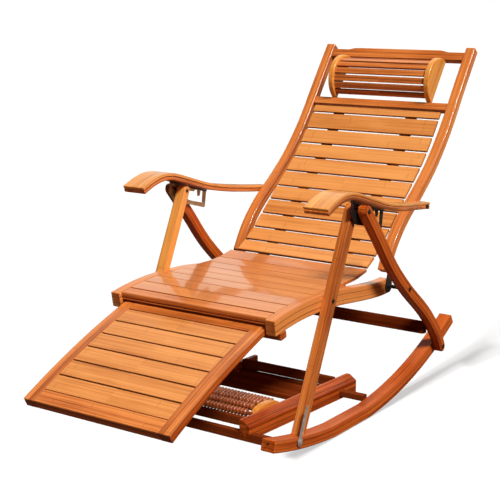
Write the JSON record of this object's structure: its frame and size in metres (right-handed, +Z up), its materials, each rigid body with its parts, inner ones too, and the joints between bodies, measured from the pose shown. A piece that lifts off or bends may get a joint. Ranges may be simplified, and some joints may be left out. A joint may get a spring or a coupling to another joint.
{
  "type": "reclining rocking chair",
  "caption": "Bamboo rocking recliner with a slatted seat and adjustable back, half-round headrest, curved armrests, pull-out footrest and foot massage rollers.",
  "frame": {"origin": "on the floor under the middle of the bounding box", "axes": "+X to the sitter's left, +Y to the back of the chair, +Z up"},
  "size_m": [0.6352, 1.4104, 0.9252],
  "materials": {
    "bamboo_frame": "gloss lacquer",
    "bamboo_slats": "gloss lacquer",
    "bamboo_red": "gloss lacquer",
    "bamboo_dark": "lacquer",
    "bamboo_pale": "gloss lacquer",
    "bronzed_steel": "bronzed plating",
    "black_steel": "black paint",
    "zinc_steel": "zinc plating",
    "webbing": "woven"
  },
  "bodies": {
    "frame": {"front_leg_L": "bamboo_frame", "front_leg_R": "bamboo_frame", "seat_rail_L": "bamboo_frame", "seat_rail_R": "bamboo_frame", "seat_front_rail": "bamboo_frame", "rocker_L": "bamboo_red", "rocker_R": "bamboo_red", "rear_leg_L": "bamboo_red", "rear_leg_R": "bamboo_red", "base_front_bar": "bamboo_dark", "base_rear_bar": "bamboo_dark", "rear_stretcher": "bamboo_dark", "footrest_carrier_bar": "bamboo_dark", "massager_end_board_L": "bamboo_dark", "massager_end_board_R": "bamboo_dark", "massager_rear_bar": "bamboo_dark", "massager_foot_board": "bamboo_dark", "massager_front_bar": "bamboo_dark", "seat_panel": "bamboo_slats", "massager_cheek_L": "bamboo_pale", "massager_cheek_R": "bamboo_pale", "leg_pin_L": "bronzed_steel", "leg_pin_R": "bronzed_steel"},
    "backrest": {"back_stile_L": "bamboo_frame", "back_stile_R": "bamboo_frame", "back_top_rail": "bamboo_frame", "back_mid_rail": "bamboo_frame", "headrest_slats": "bamboo_frame", "back_slat_01": "bamboo_slats", "back_slat_02": "bamboo_slats", "back_slat_03": "bamboo_slats", "back_slat_04": "bamboo_slats", "back_slat_05": "bamboo_slats", "back_slat_06": "bamboo_slats", "back_slat_07": "bamboo_slats", "back_slat_08": "bamboo_slats", "back_slat_09": "bamboo_slats", "back_slat_10": "bamboo_slats", "back_slat_11": "bamboo_slats", "headrest_cheek_L": "bamboo_pale", "headrest_cheek_R": "bamboo_pale", "back_hinge_L": "black_steel", "back_hinge_R": "black_steel", "back_strap_L": "webbing", "back_strap_R": "webbing"},
    "arm_L": {"armrest_L": "bamboo_frame", "arm_bracket_L": "bronzed_steel"},
    "arm_R": {"armrest_R": "bamboo_frame", "arm_bracket_R": "bronzed_steel"},
    "seat_corner": {"seat_corner_slat_1": "bamboo_slats", "seat_corner_slat_2": "bamboo_slats"},
    "footrest": {"footrest_frame": "bamboo_red", "footrest_panel": "bamboo_slats"},
    "lever_L": {"rock_stop_lever_L": "zinc_steel"},
    "lever_R": {"rock_stop_lever_R": "zinc_steel"},
    "roller_1": {"massage_roller_1": "bamboo_pale"},
    "roller_2": {"massage_roller_2": "bamboo_pale"},
    "roller_3": {"massage_roller_3": "bamboo_pale"},
    "roller_4": {"massage_roller_4": "bamboo_pale"},
    "roller_5": {"massage_roller_5": "bamboo_pale"}
  },
  "joints": [
    {"name": "back_recline", "type": "hinge", "parent": "frame", "child": "backrest", "pos_m": [0, 0.18992, 0.3165], "axis": [-1, 0, 0], "range_deg": [-19, 5]},
    {"name": "arm_follow_L", "type": "hinge", "parent": "backrest", "child": "arm_L", "pos_m": [0.2503, 0.33192, 0.5172], "axis": [-1, 0, 0], "range_deg": [-4.5, 16.5]},
    {"name": "arm_follow_R", "type": "hinge", "parent": "backrest", "child": "arm_R", "pos_m": [-0.2503, 0.33192, 0.5172], "axis": [-1, 0, 0], "range_deg": [-4.5, 16.5]},
    {"name": "seat_corner_flex", "type": "hinge", "parent": "frame", "child": "seat_corner", "pos_m": [0, 0.01692, 0.347], "axis": [1, 0, 0], "range_deg": [-13.6, 3.8]},
    {"name": "footrest_slide_in", "type": "hinge", "parent": "frame", "child": "footrest", "pos_m": [0, -0.18302, -0.12304], "axis": [-1, 0, 0], "range_deg": [0, 8]},
    {"name": "roller_spin_1", "type": "hinge", "parent": "frame", "child": "roller_1", "pos_m": [0, -0.28308, 0.07206], "axis": [1, 0, 0], "continuous": true},
    {"name": "roller_spin_2", "type": "hinge", "parent": "frame", "child": "roller_2", "pos_m": [0, -0.25508, 0.07771], "axis": [1, 0, 0], "continuous": true},
    {"name": "roller_spin_3", "type": "hinge", "parent": "frame", "child": "roller_3", "pos_m": [0, -0.22708, 0.07895], "axis": [1, 0, 0], "continuous": true},
    {"name": "roller_spin_4", "type": "hinge", "parent": "frame", "child": "roller_4", "pos_m": [0, -0.19908, 0.0758], "axis": [1, 0, 0], "continuous": true},
    {"name": "roller_spin_5", "type": "hinge", "parent": "frame", "child": "roller_5", "pos_m": [0, -0.17108, 0.06825], "axis": [1, 0, 0], "continuous": true},
    {"name": "rock_stop_L", "type": "hinge", "parent": "frame", "child": "lever_L", "pos_m": [0.2893, -0.30908, 0.041], "axis": [1, 0, 0], "range_deg": [0, 135]},
    {"name": "rock_stop_R", "type": "hinge", "parent": "frame", "child": "lever_R", "pos_m": [-0.2893, -0.30908, 0.041], "axis": [1, 0, 0], "range_deg": [0, 135]}
  ],
  "couplings": [
    {"joint": "arm_follow_L", "follows": "back_recline", "ratio": -0.85},
    {"joint": "arm_follow_R", "follows": "back_recline", "ratio": -0.85},
    {"joint": "seat_corner_flex", "follows": "back_recline", "ratio": 0.7}
  ]
}
